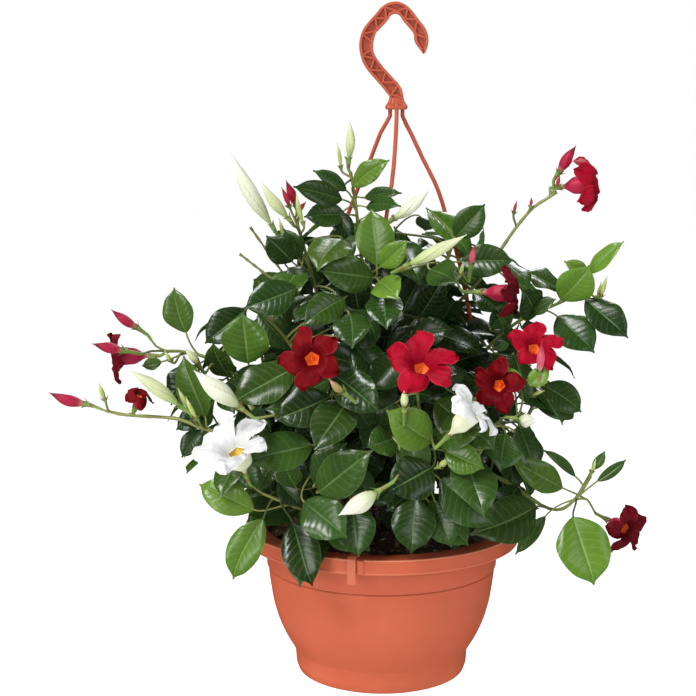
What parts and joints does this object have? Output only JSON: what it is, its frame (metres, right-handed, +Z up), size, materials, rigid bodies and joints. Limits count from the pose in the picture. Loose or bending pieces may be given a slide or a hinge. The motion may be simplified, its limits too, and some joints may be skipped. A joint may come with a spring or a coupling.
{
  "type": "potted brazilian jasmine",
  "caption": "Climbing jasmine with red and white trumpet flowers in a hanging plastic pot with a moulded hook.",
  "frame": {"origin": "the inner crest of the hook, where it hangs on a hanger or a rail", "axes": "+Z up, -Y towards the front, +X to the right as seen from the front"},
  "size_m": [0.5709, 0.3847, 0.6597],
  "materials": {
    "pot_plastic": "satin terracotta-coloured plastic",
    "hanger_plastic": "satin terracotta-coloured plastic",
    "potting_mix": "dark peat and bark, dull",
    "foliage": "glossy dark green leaves on lighter stems",
    "petal_red": "velvety crimson petals",
    "petal_deep": "velvety deep red petals with an orange throat",
    "petal_dark": "dark red petals seen from the side",
    "petal_white": "white petals with a yellow throat",
    "petal_cream": "greenish cream buds",
    "petal_pink": "pink bud tips",
    "petal_withered": "withered pale bloom"
  },
  "bodies": {
    "root": {"bloom_red_curled": "petal_deep", "bloom_red_dark": "petal_dark", "bloom_red_far": "petal_dark", "bloom_red_inner": "petal_deep", "bloom_red_left": "petal_deep", "bloom_red_low": "petal_dark", "bloom_red_middle": "petal_red", "bloom_red_right": "petal_red", "bloom_red_top": "petal_red", "bloom_white_left": "petal_white", "bloom_white_right": "petal_white", "bud_cream_left": "petal_cream", "bud_cream_long": "petal_cream", "bud_cream_top": "petal_cream", "bud_green_white": "petal_cream", "bud_pale": "petal_cream", "bud_pink_tip": "petal_pink", "bud_pointed": "petal_cream", "bud_red_high": "petal_red", "bud_red_lower": "petal_red", "bud_red_pink": "petal_pink", "bud_red_tip": "petal_red", "bud_red_tuft": "petal_red", "bud_red_upper": "petal_red", "bud_white_big": "petal_white", "bud_white_left": "petal_white", "bud_white_low": "petal_white", "bud_white_round": "petal_white", "bud_white_top": "petal_white", "bud_withered": "petal_withered", "hanger_hook": "hanger_plastic", "pot": "pot_plastic", "soil": "potting_mix", "stem_back_inner": "foliage", "stem_back_left": "foliage", "stem_back_mid": "foliage", "stem_back_right": "foliage", "stem_crown": "foliage", "stem_flower_up": "foliage", "stem_front_left": "foliage", "stem_front_mid": "foliage", "stem_front_right": "foliage", "stem_left_far": "foliage", "stem_left_low": "foliage", "stem_left_up": "foliage", "stem_low_left": "foliage", "stem_right_mid": "foliage", "stem_right_up": "foliage", "stem_right_vine": "foliage", "stem_side_left": "foliage", "stem_side_right": "foliage", "stem_top_right": "foliage", "stem_white_buds": "foliage", "strand_back_left": "hanger_plastic", "strand_front": "hanger_plastic", "strand_right": "hanger_plastic"}
  },
  "joints": []
}
